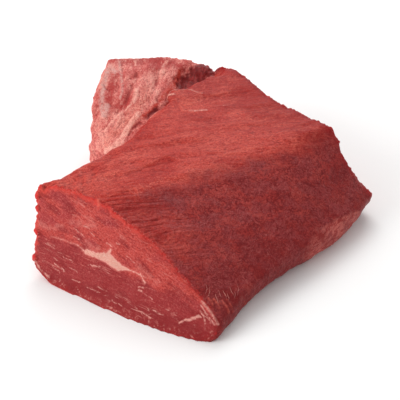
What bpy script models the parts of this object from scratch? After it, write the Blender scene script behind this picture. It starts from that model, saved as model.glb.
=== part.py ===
"""A raw bottom round roast of beef: a thick slab with a sloping front, and the heel of a second muscle behind it.

The grain of the slab runs along X. Its near cut faces -X, its thin edge -Y and its back edge +Y, where the heel
stands out. The roast lies on its flat sole, and its origin is on that sole, below the middle of its box.
"""

import math

import bmesh
import bpy
import numpy as np
from mathutils import Matrix, Vector, noise

MM = 0.001

# The slab's driving sizes in millimetres: along the grain, from the thin edge to the back edge, and upwards.
LENGTH = 190.0
WIDTH = 135.0
THICKNESS = 65.0
SLAB_SIZE = (LENGTH, WIDTH, THICKNESS)

# What goes under the sole is cut off. This is how far the muscles go down before the cut.
UNDER = -7

# A rail runs along a muscle from its near end to its far end, and the rails go round it in order. Each gives how
# sharp its edge is, its near end, its (y, z) at one third and at two thirds of the way, and its far end, all in
# percent of the slab's length, width and thickness.
SLAB = {
    "sole_front": (0.3, (-3, 0, UNDER), (8, UNDER), (-4, UNDER), (93, -6.5, UNDER)),
    "hem": (0.3, (-0.5, -6.5, 6), (-1, 10), (-19.5, 11), (97.5, -17.5, 11)),
    "brow": (0.5, (2.5, -4, 21), (-4, 32), (-17.5, 32), (94, -18.5, 30)),
    "shoulder": (0.0, (7, 24, 55), (16, 66), (2.5, 64), (93.5, 2, 64)),
    "crease": (0.45, (8.5, 66.5, 83), (54.5, 97), (29.5, 98), (97.5, 13.5, 96)),
    "table": (0.0, (9.5, 90.5, 93), (76, 97), (65.5, 101), (98, 52, 99)),
    "back_edge": (0.75, (5, 110.5, 88), (91.5, 91), (98, 104), (107, 94, 106)),
    "back_wall": (0.0, (-6.5, 107, 27), (99.5, 47), (101.5, 55), (106, 100, 58)),
    "sole_back": (0.2, (-10.5, 94.5, UNDER), (93.5, UNDER), (92, UNDER), (101.5, 92, UNDER)),
    "sole_middle": (0.0, (-9.5, 40, UNDER), (44, UNDER), (43.5, UNDER), (97.5, 40, UNDER)),
}

# The heel's inner rails lie inside the slab, which it grows out of.
HEEL = {
    "sole_in": (0.0, (43.5, 85.5, UNDER), (85.5, UNDER), (85.5, UNDER), (100.5, 85.5, UNDER)),
    "sole_out": (0.2, (46.5, 114.5, UNDER), (124, UNDER), (132, UNDER), (91, 130.5, UNDER)),
    "belly": (0.0, (41, 119.5, 25), (135.5, 36), (146, 44), (89.5, 148.5, 44)),
    "rim": (0.6, (48, 126, 55), (138, 89), (144.5, 104), (82.5, 152, 109)),
    "roof": (0.0, (44.5, 110.5, 64), (121.5, 89), (126.5, 105), (102.5, 119, 107)),
    "root": (0.0, (41.5, 86.5, 55), (90.5, 72), (93.5, 86), (107, 94.5, 107)),
}

# Hollows between the two muscles: the middle in the same percent, half sizes in millimetres, and the turn about Z.
HOLLOWS = {
    "pocket": ((90.5, 103.5, 117), (22, 13, 19), math.radians(12)),
    "crevice": ((62.5, 99.5, 97), (27, 3.2, 18), math.radians(8)),
}

# The cut ends are sharper than the edges that the rails make.
CUT_SHARPNESS = 0.9
SMOOTH_LEVELS = 4
VOXEL = 2.2
TRIANGLES = 9400

# Relief that a hand would feel, in millimetres, and the grain's direction on top of the slab.
LUMP_HEIGHT, LUMP_LENGTH = 1.4, 34.0
BUNDLE_HEIGHT, BUNDLE_WIDTH, BUNDLE_LENGTH = 0.9, 8.0, 54.0
CRAG_HEIGHT, CRAG_LENGTH = 1.1, 9.0
GRAIN_TURN = math.radians(-43)

MEAT_COLOUR = (0.43, 0.085, 0.070, 1.0)
MEAT_ROUGHNESS = 0.42


def clear_scene():
    for obj in list(bpy.data.objects):
        bpy.data.objects.remove(obj)


def add_object(name, mesh):
    obj = bpy.data.objects.new(name, mesh)
    bpy.context.scene.collection.objects.link(obj)
    return obj


def from_percent(place):
    """A place given in percent of the slab, in metres."""
    return Vector([share / 100 * size * MM for share, size in zip(place, SLAB_SIZE)])


def rail_points(near, third, two_thirds, far):
    """The four points of a rail. Between its ends X goes evenly and Y and Z are stated."""
    step = (far[0] - near[0]) / 3
    return (near, (near[0] + step, *third), (near[0] + 2 * step, *two_thirds), far)


def muscle(name, rails):
    """A closed cage through the rails, subdivided into a smooth body that keeps its cut ends and its edges."""
    body = bmesh.new()
    crease = body.edges.layers.float.new("crease_edge")
    sharpness = [rail[0] for rail in rails.values()]
    rows = []
    for rail in rails.values():
        rows.append([body.verts.new(from_percent(place)) for place in rail_points(*rail[1:])])
    pairs = list(zip(rows, rows[1:] + rows[:1]))
    stations = len(rows[0])
    for here, after in pairs:
        for i in range(stations - 1):
            body.faces.new((here[i], after[i], after[i + 1], here[i + 1]))
    body.faces.new([row[0] for row in reversed(rows)])
    body.faces.new([row[-1] for row in rows])
    for row, sharp in zip(rows, sharpness):
        for i in range(stations - 1):
            body.edges.get((row[i], row[i + 1]))[crease] = sharp
    for here, after in pairs:
        for end in (0, -1):
            body.edges.get((here[end], after[end]))[crease] = CUT_SHARPNESS
    bmesh.ops.recalc_face_normals(body, faces=body.faces)
    mesh = bpy.data.meshes.new(name)
    body.to_mesh(mesh)
    body.free()
    obj = add_object(name, mesh)
    smooth = obj.modifiers.new("smooth", "SUBSURF")
    smooth.levels = smooth.render_levels = SMOOTH_LEVELS
    return obj


def hollow(name, middle, half_sizes, turn):
    """An egg-shaped cutter for the gap between the two muscles."""
    body = bmesh.new()
    bmesh.ops.create_icosphere(body, subdivisions=4, radius=1.0)
    bmesh.ops.scale(body, vec=Vector(half_sizes) * MM, verts=body.verts)
    mesh = bpy.data.meshes.new(name)
    body.to_mesh(mesh)
    body.free()
    cutter = add_object(name, mesh)
    cutter.location = from_percent(middle)
    cutter.rotation_euler.z = turn
    cutter.hide_render = True
    cutter.display_type = "WIRE"
    return cutter


def add_boolean(obj, other, operation):
    boolean = obj.modifiers.new(other.name, "BOOLEAN")
    boolean.operation = operation
    boolean.solver = "EXACT"
    boolean.object = other


def add_remesh(obj):
    remesh = obj.modifiers.new("even", "REMESH")
    remesh.mode = "VOXEL"
    remesh.voxel_size = VOXEL * MM


def add_decimate(obj, triangles):
    """Leaves about that many triangles, with more of them where the surface turns."""
    obj.data.calc_loop_triangles()
    fewer = obj.modifiers.new("fewer", "DECIMATE")
    fewer.ratio = triangles / len(obj.data.loop_triangles)
    fewer.use_collapse_triangulate = True


def baked(obj, name):
    """A new object that holds obj's mesh with its modifiers applied."""
    bpy.context.view_layer.update()
    graph = bpy.context.evaluated_depsgraph_get()
    mesh = bpy.data.meshes.new_from_object(obj.evaluated_get(graph))
    mesh.name = name
    return add_object(name, mesh)


def bundle_noise(point):
    """Noise drawn out along the grain, for a point in millimetres."""
    along = point.x * math.cos(GRAIN_TURN) + point.y * math.sin(GRAIN_TURN)
    across = point.y * math.cos(GRAIN_TURN) - point.x * math.sin(GRAIN_TURN)
    return noise.noise(Vector((along / BUNDLE_LENGTH, across / BUNDLE_WIDTH, point.z / BUNDLE_WIDTH)))


def relief(point, normal):
    """How far the surface stands out at a point: lumps all over, bundles of grain on top and crags at the sides."""
    upward = max(0.0, normal.z)
    lump = noise.noise(point / LUMP_LENGTH) * LUMP_HEIGHT
    bundle = bundle_noise(point) * BUNDLE_HEIGHT * upward
    crag = noise.noise(point / CRAG_LENGTH) * CRAG_HEIGHT * (1 - upward)
    return lump + bundle + crag


def add_relief(mesh):
    heights = [relief(vertex.co / MM, vertex.normal) * MM for vertex in mesh.vertices]
    moved = [vertex.co + vertex.normal * height for vertex, height in zip(mesh.vertices, heights)]
    for vertex, place in zip(mesh.vertices, moved):
        vertex.co = place


def cut_sole(mesh):
    """Cuts the underside flat at Z 0, so that the roast lies still."""
    body = bmesh.new()
    body.from_mesh(mesh)
    everything = body.verts[:] + body.edges[:] + body.faces[:]
    cut = bmesh.ops.bisect_plane(body, geom=everything, plane_co=(0, 0, 0), plane_no=(0, 0, -1), clear_outer=True)
    rim = [item for item in cut["geom_cut"] if isinstance(item, bmesh.types.BMEdge)]
    bmesh.ops.contextual_create(body, geom=rim)
    bmesh.ops.triangulate(body, faces=body.faces)
    bmesh.ops.recalc_face_normals(body, faces=body.faces)
    body.to_mesh(mesh)
    body.free()


def centre(mesh):
    """Puts the origin below the middle of the box."""
    points = np.array([vertex.co for vertex in mesh.vertices])
    middle = (points.min(axis=0) + points.max(axis=0)) / 2
    mesh.transform(Matrix.Translation((-middle[0], -middle[1], 0)))


def meat():
    material = bpy.data.materials.new("meat")
    material.use_nodes = True
    surface = material.node_tree.nodes["Principled BSDF"]
    surface.inputs["Base Color"].default_value = MEAT_COLOUR
    surface.inputs["Roughness"].default_value = MEAT_ROUGHNESS
    return material


def main():
    clear_scene()
    slab = muscle("slab", SLAB)
    heel = muscle("heel", HEEL)
    add_boolean(slab, heel, "UNION")
    cutters = [hollow(name, *form) for name, form in HOLLOWS.items()]
    for cutter in cutters:
        add_boolean(slab, cutter, "DIFFERENCE")
    add_remesh(slab)
    whole = baked(slab, "whole")
    add_relief(whole.data)
    add_decimate(whole, TRIANGLES)
    roast = baked(whole, "roast")
    for helper in (slab, heel, whole, *cutters):
        bpy.data.objects.remove(helper)
    cut_sole(roast.data)
    centre(roast.data)
    roast.data.materials.clear()
    roast.data.materials.append(meat())
    roast.data.shade_smooth()


main()
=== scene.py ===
# %% [markdown]
# A raw bottom round roast of beef. It is one thick slab of a single muscle with a sloping front, and
# behind it stands the end of a second muscle, the heel. The imported model gives its true form and size as
# one plain solid. This lesson dresses that solid: a finely divided copy carries the grain, the beads
# along the cuts and the folds of skin, and node materials carry the marbling, the silverskin, the wet
# gloss and some painted highlights and shade.

# %% Load the imported model
import math
from types import SimpleNamespace

import bpy
import bmesh
import numpy as np
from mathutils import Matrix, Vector, noise
from mathutils.bvhtree import BVHTree


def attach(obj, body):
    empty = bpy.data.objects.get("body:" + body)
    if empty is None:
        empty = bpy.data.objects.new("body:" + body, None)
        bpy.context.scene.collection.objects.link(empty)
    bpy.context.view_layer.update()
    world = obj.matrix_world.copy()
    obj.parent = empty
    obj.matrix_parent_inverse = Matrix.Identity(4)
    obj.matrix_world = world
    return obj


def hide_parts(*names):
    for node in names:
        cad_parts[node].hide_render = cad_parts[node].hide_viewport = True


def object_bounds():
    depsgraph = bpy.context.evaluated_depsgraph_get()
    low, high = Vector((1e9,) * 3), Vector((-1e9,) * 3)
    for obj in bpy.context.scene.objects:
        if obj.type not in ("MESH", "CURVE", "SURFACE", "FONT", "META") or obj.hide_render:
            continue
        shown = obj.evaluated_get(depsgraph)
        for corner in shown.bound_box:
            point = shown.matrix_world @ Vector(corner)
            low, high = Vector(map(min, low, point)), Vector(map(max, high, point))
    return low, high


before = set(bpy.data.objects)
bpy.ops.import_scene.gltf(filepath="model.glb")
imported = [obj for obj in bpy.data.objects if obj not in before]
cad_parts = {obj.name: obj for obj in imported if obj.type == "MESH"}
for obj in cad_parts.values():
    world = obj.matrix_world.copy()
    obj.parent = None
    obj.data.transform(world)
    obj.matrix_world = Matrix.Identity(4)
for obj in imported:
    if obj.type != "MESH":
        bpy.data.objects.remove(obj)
cad_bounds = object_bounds()
MM = 0.001
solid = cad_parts["roast"]
box = [[round(c / MM, 1) for c in corner] for corner in cad_bounds]
print("solid", len(solid.data.polygons), "faces, box in mm", box)

# %% [markdown]
# The camera comes first, because every later choice is judged through it. It looks down at the near cut
# and the sloping front from the left. A long lens keeps the edges of the slab almost parallel, as in the
# photograph.

# %% The camera
CAMERA_PLACE = Vector((-520.9, -383.6, 506.3)) * MM
CAMERA_AZIMUTH = math.radians(-55)
CAMERA_ELEVATION = math.radians(37)
LENS, SENSOR, CLIP_START = 100.0, 36.0, 0.01


def add_object(name, data):
    """A new object in the scene that shows this data."""
    made = bpy.data.objects.new(name, data)
    bpy.context.scene.collection.objects.link(made)
    return made


def looking_back(azimuth, elevation):
    """The direction from the roast to a camera that stands at that azimuth and elevation."""
    level = math.cos(elevation)
    return Vector((math.sin(azimuth) * level, -math.cos(azimuth) * level, math.sin(elevation)))


back = looking_back(CAMERA_AZIMUTH, CAMERA_ELEVATION)
camera = add_object("camera", bpy.data.cameras.new("camera"))
camera.data.lens = LENS
camera.data.sensor_width = SENSOR
camera.data.clip_start = CLIP_START
camera.location = CAMERA_PLACE
camera.rotation_euler = back.to_track_quat("Z", "Y").to_euler()
bpy.context.scene.camera = camera
print("camera looks along", [round(-c, 2) for c in back])

# %% [markdown]
# The solid keeps the main forms. Where the two muscles part, the real roast has finer ones: a torn pocket
# with a lip, and a raised flap of the slab in front of it. A butcher's knife and thumb made them, and a
# sculptor would carve and add them. Eggs do that here: some are cut out of the solid and some are joined
# to it.

# %% Eggs that carve and fill
# Each egg: its middle and half sizes in millimetres, and its turn about Z in degrees.
CARVED = {
    "pocket_mouth": ((88, 46.5, 71), (19, 13, 13.5), -4),
}
FILLED = {
    "flap": ((57.8, 40, 63.4), (10.2, 9.6, 4.2), 0),
    "back_edge": ((22, 39, 52), (34, 7, 11), 8),
    "far_rim": ((102, 50, 57.5), (7, 10, 9), 0),
    "near_corner": ((-75.4, 49, 49.5), (8, 8, 7.5), 0),
    "far_corner": ((77, -107, 20), (5.5, 5.5, 4.5), 0),
}


def add_mesh(name, work):
    """A new object that shows what was worked out in a bmesh."""
    made = add_object(name, bpy.data.meshes.new(name))
    work.to_mesh(made.data)
    work.free()
    return made


def egg(name, middle, half_sizes, turn):
    """An egg-shaped helper, which is removed once it has carved or filled."""
    work = bmesh.new()
    bmesh.ops.create_icosphere(work, subdivisions=4, radius=1.0)
    bmesh.ops.scale(work, vec=Vector(half_sizes) * MM, verts=work.verts)
    made = add_mesh(name, work)
    made.location = Vector(middle) * MM
    made.rotation_euler.z = math.radians(turn)
    return made


eggs = [(egg(name, *form), "DIFFERENCE") for name, form in CARVED.items()]
eggs += [(egg(name, *form), "UNION") for name, form in FILLED.items()]
print(len(eggs), "eggs")

# %% [markdown]
# The solid has faces about six millimetres wide, which would show as facets. A sculptor would remesh it
# to an even skin of small quads and relax that skin until the facets melt into one surface. Here the
# Remesh modifier makes the skin, and a few rounds of averaging each point with its neighbours relax it.
# Every second round pushes outwards again, so that the roast doesn't shrink.

# %% An even skin over the solid
SKIN_STEP = 1.2 * MM
WELD_REACH = 0.01 * MM


def evaluated_copy(obj, name):
    """A new object with obj's mesh as its modifiers leave it."""
    bpy.context.view_layer.update()
    mesh = bpy.data.meshes.new_from_object(obj.evaluated_get(bpy.context.evaluated_depsgraph_get()))
    mesh.name = name
    return add_object(name, mesh)


def even_skin(source, name, step, helpers):
    """A copy of source, welded, carved and filled by helpers, and remeshed into quads about a step wide."""
    rough = add_object(name + "_rough", source.data.copy())
    rough.modifiers.new("weld", "WELD").merge_threshold = WELD_REACH
    for helper, operation in helpers:
        boolean = rough.modifiers.new(helper.name, "BOOLEAN")
        boolean.operation = operation
        boolean.object = helper
    remesh = rough.modifiers.new("even", "REMESH")
    remesh.mode = "VOXEL"
    remesh.voxel_size = step
    made = evaluated_copy(rough, name)
    for used in [rough] + [helper for helper, _ in helpers]:
        bpy.data.objects.remove(used)
    return made


roast = even_skin(solid, "roast_meat", SKIN_STEP, eggs)
mesh = roast.data
print("skin", len(mesh.vertices), "points,", len(mesh.polygons), "quads")

# %% [markdown]
# The knife left corners that the eggs can't give: the near cut's upper corner is boxy, and the far corner
# is sharp above and drawn in below. A sculptor would take the grab brush, which pulls a patch of skin
# with a soft fall-off. A grab here is the same in numbers.

# %% Grabs
# Each grab: its middle, how far it reaches and how far it pulls, in millimetres.
GRABS = (
    ((-82, 56, 54), 13, (-0.6, 1.9, 0.2)),
    ((-104, 45, 8), 11, (-1.2, 2.0, 0)),
    ((-99, 50, 24), 10, (1.2, -1.6, 0)),
    ((-66, 44, 59), 12, (0, -0.6, -1.4)),
    ((-80, 53, 58), 9, (0, 0, -2.2)),
    ((98, 36, 69), 10, (0, -1.5, -4.6)),
    ((105, 22, 68), 12, (1.0, 0, 1.7)),
    ((104, 9, 66), 26, (2.6, 0, 1.0)),
    ((92, -38, 63), 17, (1.4, 0, 0.4)),
    ((88, -76, 52), 15, (3.0, -1.2, 0)),
    ((82, -105, 28), 9, (-1.4, 1.8, 0)),
    ((79, -112, 22), 7, (-1.5, 1.2, 0)),
    ((80, -112, 3), 18, (-4.3, 5.2, 0)),
    ((-100, -63, 1), 26, (-1.5, -1.0, 0)),
    ((-38, -96, 6), 34, (0, -1.3, 0)),
    ((-2, 72, 30), 18, (-1.1, 1.6, 0)),
)


def dome(places, middle, reach):
    """1 at the middle, and less and less out to that reach, where it is 0."""
    away = np.linalg.norm(places - middle, axis=1) / reach
    return np.clip(1 - away * away, 0, 1)


def pulled(places, grabs):
    """Places after every grab, in millimetres."""
    for middle, reach, pull in grabs:
        places = places + dome(places, middle, reach)[:, None] ** 2 * np.array(pull)
    return places


# %% Read the skin into arrays
def read_vectors(items, name):
    flat = np.empty(len(items) * 3, np.float32)
    items.foreach_get(name, flat)
    return flat.reshape(-1, 3).astype(float)


def write_points(mesh, points):
    mesh.vertices.foreach_set("co", points.astype(np.float32).ravel())
    mesh.update()


def read_net(mesh):
    """Both ends of every edge, and how many neighbours each point has."""
    flat = np.empty(len(mesh.edges) * 2, np.int32)
    mesh.edges.foreach_get("vertices", flat)
    return flat[0::2].copy(), flat[1::2].copy(), np.bincount(flat).astype(float)


near_ends, far_ends, neighbours = read_net(mesh)


def averaged(values):
    """Each point's mean over its neighbours, for a column of numbers or of places."""
    columns = values.reshape(len(values), -1)
    total = np.empty_like(columns)
    for i in range(columns.shape[1]):
        column = columns[:, i]
        total[:, i] = np.bincount(near_ends, column[far_ends], len(values))
        total[:, i] += np.bincount(far_ends, column[near_ends], len(values))
    return (total / neighbours[:, None]).reshape(values.shape)


def relaxed(values, rounds, inward, outward=0.0):
    """Values blended towards their neighbours' mean by inward and then by outward, so many times."""
    for _ in range(rounds):
        values = values + (averaged(values) - values) * inward
        if outward:
            values = values + (averaged(values) - values) * outward
    return values


# %% Melt the facets
RELAX_ROUNDS, RELAX_IN, RELAX_OUT = 14, 0.55, -0.57
FACING_ROUNDS, FACING_IN = 3, 0.5
SOLE_HEIGHT = 0.3 * MM


def melt(mesh, rounds):
    """Relaxes the skin but keeps its sole flat. It gives the points and the way that they face."""
    points = read_vectors(mesh.vertices, "co")
    on_sole = points[:, 2] < SOLE_HEIGHT
    points = relaxed(points, rounds, RELAX_IN, RELAX_OUT)
    points[on_sole, 2] = 0.0
    write_points(mesh, points)
    facing = relaxed(read_vectors(mesh.vertex_normals, "vector"), FACING_ROUNDS, FACING_IN)
    return points / MM, facing / np.linalg.norm(facing, axis=1)[:, None]


write_points(mesh, pulled(read_vectors(mesh.vertices, "co") / MM, GRABS) * MM)
places, facing = melt(mesh, RELAX_ROUNDS)
print("relaxed box in mm", places.min(axis=0).round(1), places.max(axis=0).round(1))

# %% [markdown]
# Much of the look depends on where a point lies: on a cut, near its rim, on the slab or on the heel. A
# painter would mask these by hand. Here the mask of a cut is made from the way that the skin faces, and
# the distance to its rim is then walked outwards from point to point. The result is a number on each
# point, in millimetres, positive inside the cut and negative outside it, which both the relief and the
# materials read.

# %% Distance to the rim of a cut
CUT_NORMAL = np.array((-0.858, -0.108, 0.503))
CUT_FACING, FAR_FACING = 0.80, 0.72
CUT_ENDS_AT, FAR_CUT_STARTS_AT = -40, 55
REACH = 50


def signed_distance(inside, places, reach):
    """Millimetres from the border of inside, walked along the edges, positive inside."""
    steps = np.linalg.norm(places[near_ends] - places[far_ends], axis=1)
    crossing = inside[near_ends] != inside[far_ends]
    distance = np.full(len(places), float(reach))
    np.minimum.at(distance, near_ends[crossing], steps[crossing] / 2)
    np.minimum.at(distance, far_ends[crossing], steps[crossing] / 2)
    for _ in range(reach):
        np.minimum.at(distance, near_ends, distance[far_ends] + steps)
        np.minimum.at(distance, far_ends, distance[near_ends] + steps)
    return relaxed(np.where(inside, distance, -distance), 2, 0.5)


def from_near_cut(places, facing):
    inside = (facing @ CUT_NORMAL > CUT_FACING) & (places[:, 0] < CUT_ENDS_AT)
    return signed_distance(inside, places, REACH)


def from_far_cut(places, facing):
    inside = (facing[:, 0] > FAR_FACING) & (places[:, 0] > FAR_CUT_STARTS_AT)
    return signed_distance(inside, places, REACH)


near_cut = from_near_cut(places, facing)
print("near cut", int((near_cut > 0).sum()), "points")

# %% [markdown]
# The slab and the heel meet along a crevice. Seen from above it is a line that goes straight and then
# round the raised flap, and how far a point lies behind it tells the two muscles apart. Two more lines
# are the crease, where the slab's top turns into its sloping front, and the brow, where the front turns
# down to the foot.

# %% Lines that divide the roast
# The crevice and the crease are (x, y) seen from above. The brow is (x, z) seen from the front.
CREVICE = (
    (-15, 40), (30, 43), (42, 45), (47, 46.5), (51, 49.5), (56, 51.5), (62, 51), (66.5, 47.5), (69.5, 42),
    (76, 38), (105, 37.5),
)
CREASE = (
    (-100, 12), (-76, 5), (-54, -3), (-22, -18), (4, -33), (26, -44), (61, -64), (90, -72), (110, -76),
)
BROW = (
    (-90, 13), (-60, 16), (-34, 17), (0, 19), (12, 24), (36, 24), (50, 22.5), (62, 20), (72, 16), (80, 13),
)


def beyond(line, run, side):
    """How far side lies beyond the line's second number at each run."""
    return side - np.interp(run, [spot[0] for spot in line], [spot[1] for spot in line])


def ramp(values, low, high):
    """0 below low, 1 above high and smooth in between."""
    share = np.clip((values - low) / (high - low), 0, 1)
    return share * share * (3 - 2 * share)


def bell(distance, width):
    """1 at no distance, falling off on both sides over about that width."""
    return np.exp(-(distance / width) ** 2)


def report(limit=0.5, **masks):
    """Prints how many points of each mask are above a limit."""
    print({name: int((mask > limit).sum()) for name, mask in masks.items()}, "points")


x, y, z = places.T
behind_crevice, above_crease = beyond(CREVICE, x, y), beyond(CREASE, x, y)
report(0, behind_crevice=behind_crevice, above_crease=above_crease)

# %% [markdown]
# Four places need a finer skin: the rim of the near cut with its beads, the strip beside it where the
# grain is torn open, the crevice, and the rim of the far cut. Their quads are split into four. The rest
# stays coarse, which keeps the whole roast light.

# %% Split the skin where the detail is fine
RIM_BAND, FAR_BAND, TORN_REACH, CREVICE_BAND = 4.0, 3.0, 36, 7
TORN_BELOW, TORN_ABOVE = -58, 16
CREVICE_X, CREVICE_Z, FAR_RIM_Z, FAR_RIM_Y = 0, 42, 14, 36


def split_faces(mesh, wanted):
    """Splits each face whose points are all wanted into four."""
    work = bmesh.new()
    work.from_mesh(mesh)
    faces = [face for face in work.faces if all(wanted[v.index] for v in face.verts)]
    edges = {edge for face in faces for edge in face.edges}
    bmesh.ops.subdivide_edges(work, edges=list(edges), cuts=1, use_grid_fill=True)
    work.to_mesh(mesh)
    work.free()
    return len(faces)


wanted = np.abs(near_cut) < RIM_BAND
beside_cut = (-TORN_REACH < near_cut) & (near_cut < 0)
wanted |= beside_cut & (TORN_BELOW < above_crease) & (above_crease < TORN_ABOVE)
wanted |= (np.abs(behind_crevice) < CREVICE_BAND) & (x > CREVICE_X) & (z > CREVICE_Z)
wanted |= (np.abs(from_far_cut(places, facing)) < FAR_BAND) & (z > FAR_RIM_Z) & (y < FAR_RIM_Y)
print("split", split_faces(mesh, wanted), "quads")

# %% Measure the finer skin
HEEL_STARTS_AT, HEEL_FADE = -17.0, 4
FINE_ROUNDS = 2

near_ends, far_ends, neighbours = read_net(mesh)
places, facing = melt(mesh, FINE_ROUNDS)
near_cut, far_cut = from_near_cut(places, facing), from_far_cut(places, facing)
x, y, z = places.T
behind_crevice, above_crease, above_brow = beyond(CREVICE, x, y), beyond(CREASE, x, y), beyond(BROW, x, z)
heel = ramp(behind_crevice, -1, 1.5) * ramp(x, HEEL_STARTS_AT, HEEL_STARTS_AT + HEEL_FADE)
slab = 1 - heel
hem = ramp(-above_brow, -1.5, 1.5) * ramp(-y, 62, 75) * ramp(x, -6, 16) * ramp(-x, -76, -62)
report(heel=heel, slab=slab, hem=hem)

# %% [markdown]
# Beef is bundles of fibres. On top of the slab they lie side by side in long ridges with grooves between
# them, most open near the cut, where the knife pulled at them. Noise that is stretched along the grain
# makes ridges, and the fold of that noise about zero makes narrow grooves. The heel's bundles run another
# way.

# %% Noise along the grain
SLAB_GRAIN, HEEL_GRAIN = math.radians(-43), math.radians(27)
GROOVE_STEEPNESS = 2.5
KNOB_REACH, KNOB_ROUNDNESS = 0.6, 0.7
WANDER, WANDER_LENGTH = 1.6, 17


def in_grain(places, turn, along, across, upright=0.25):
    """Places turned into the grain's direction and divided by the size of a bundle along and across it.

    A low upright keeps a bundle whole where the surface slopes.
    """
    c, s = math.cos(turn), math.sin(turn)
    run = places[:, 0] * c + places[:, 1] * s
    side = places[:, 1] * c - places[:, 0] * s
    return np.stack([run / along, side / across, places[:, 2] / across * upright], axis=1)


def ripples(places):
    """Smooth noise between about -1 and 1 at each place."""
    return np.array([noise.noise(Vector(p)) for p in places]) * 2


def grooves(places):
    """Noise folded about zero: 0 at the bottom of a narrow groove, towards 1 on the bundles."""
    return np.minimum(1.0, np.abs(ripples(places)) * GROOVE_STEEPNESS)


def furrows(places, turn, spacing, wave):
    """Even furrows along the grain: 0 at the bottom of a furrow and 1 on the bundle beside it."""
    side = places[:, 1] * math.cos(turn) - places[:, 0] * math.sin(turn)
    drift = ripples(in_grain(places, turn, 46, 13, 0.1)) * wave
    return np.sqrt(np.abs(np.sin((side / spacing + drift) * math.pi)))


def knobs(places):
    """Rounded knobs, one in each cell: 1 at the top, 0 halfway to the next."""
    nearest = np.array([noise.voronoi(Vector(p))[0][0] for p in places])
    return np.clip(1 - nearest / KNOB_REACH, 0, 1) ** KNOB_ROUNDNESS


def print_range(name, heights):
    print(name, "from", heights.min().round(2), "to", heights.max().round(2), "mm")


def slab_ripples(places, along, across, lean=0.0, upright=0.25):
    """Ripples along the slab's grain, or at an angle that leans away from it."""
    return ripples(in_grain(places, SLAB_GRAIN + lean, along, across, upright))


wander = np.stack([ripples(places / WANDER_LENGTH + shift) for shift in (0, 40, 80)], axis=1) * WANDER
loose = places + wander
print("grain noise ready")

# %% Where the slab's grain shows
outside_cuts = ramp(-near_cut, 0.5, 2.5) * ramp(-far_cut, 0.5, 3.0)
on_top = ramp(above_crease, -14, 2)
dry = ramp(-x, 0, 50) * ramp(above_crease, 12, 34)
fringe = ramp(near_cut, -52, -6) * ramp(above_crease, -78, -40)
torn = (
    ramp(-near_cut, 0.5, 4) * ramp(near_cut, -44, -18)
    * ramp(above_crease, -66, -46) * ramp(-above_crease, -30, -4)
    * ramp(ripples(places / 15 + 7), -1.0, -0.2)
)
opening = ramp(slab_ripples(places + 9, 24, 5, upright=0.1), -1.0, 0.1)
report(on_top=on_top, torn=torn, dry=dry, fringe=fringe)

# %% Relief of the slab's top
BUNDLE_HEIGHT, STRAND_HEIGHT, FIBRE_HEIGHT = 0.46, 0.24, 0.18
GROOVE_SPACING, GROOVE_DEPTH, RENT_DEPTH = 4.7, 0.70, 0.25
FURROW_SPACING, FURROW_DEPTH = 1.8, 0.30
DRY_FOLDS, TOP_GRAIN, DENT_DEPTH = 0.5, 0.12, 0.55

bundles = slab_ripples(loose, 42, 8.5) * BUNDLE_HEIGHT
strands = slab_ripples(loose, 20, 3.0) * STRAND_HEIGHT
dry_folds = slab_ripples(loose + 25, 11, 4.5, 0.3) * DRY_FOLDS * dry
fibres = slab_ripples(loose, 12, 1.5) * FIBRE_HEIGHT * np.maximum(torn, dry * 0.5)
fine_furrows = (furrows(places, SLAB_GRAIN + 0.03, FURROW_SPACING, 1.5) - 1) * np.maximum(torn, dry * 0.3)
open_grooves = (furrows(places + wander * 0.2, SLAB_GRAIN + 0.06, GROOVE_SPACING, 0.9) - 1) * torn * opening
where_rent = ramp(ripples(places / 18 + 5), -0.1, 0.5)
rents = (grooves(in_grain(loose + 60, SLAB_GRAIN + 0.15, 32, 9)) - 1) * on_top * slab * where_rent
dents = ripples(loose / 12 + 33) * DENT_DEPTH * (dry * 0.7 + 0.3)
grained = bundles + (strands + dry_folds) + fibres + fine_furrows * FURROW_DEPTH
top_relief = (
    grained * np.maximum(on_top, torn) + open_grooves * GROOVE_DEPTH + rents * RENT_DEPTH
    + (ripples(places / 2.4) * TOP_GRAIN + dents) * on_top
)
print_range("top relief", top_relief)

# %% Relief of the slab's front
FRONT_GRAIN, FRONT_FOLDS, HEM_LIP, HEM_LIP_WIDTH = 0.15, 0.24, 0.4, 1.6

hem_lip = bell(above_brow, HEM_LIP_WIDTH) * ramp(x, -5, 20) * ramp(-y, 62, 75)
front_relief = ripples(places / 2.6) * FRONT_GRAIN + grooves(loose / 4.2) * FRONT_FOLDS + hem_lip * HEM_LIP
slab_relief = (top_relief + front_relief * (1 - on_top)) * outside_cuts
print_range("slab relief", slab_relief)

# %% Relief of the heel
HEEL_LUMPS, HEEL_STRANDS, HEEL_GRIT, HEEL_GROOVES, HEEL_CRESTS = 0.7, 0.21, 0.12, 0.42, 0.5

crests = (1 - grooves(in_grain(loose + 70, HEEL_GRAIN + 0.1, 20, 7, 1))) ** 2 * ramp(x, 70, 20)
heel_relief = (
    ripples(in_grain(loose, HEEL_GRAIN, 34, 9, 1)) * HEEL_LUMPS
    + ripples(in_grain(loose, HEEL_GRAIN, 7, 2.6, 1)) * HEEL_STRANDS
    + (grooves(in_grain(loose, HEEL_GRAIN, 18, 5.0, 1)) - 1) * HEEL_GROOVES
    + ripples(places / 2.2) * HEEL_GRIT + crests * HEEL_CRESTS
)
print_range("heel relief", heel_relief)

# %% Beads along the rims of the cuts
BEAD_SIZE, BEAD_HEIGHT, SIDE_BEADS, FAR_BEADS = 3.2, 0.55, 0.5, 0.55
RIM_WIDTH, FAR_RIM_WIDTH, RIM_WAVE, RIM_SINK = 1.4, 1.6, 0.35, 0.15

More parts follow.
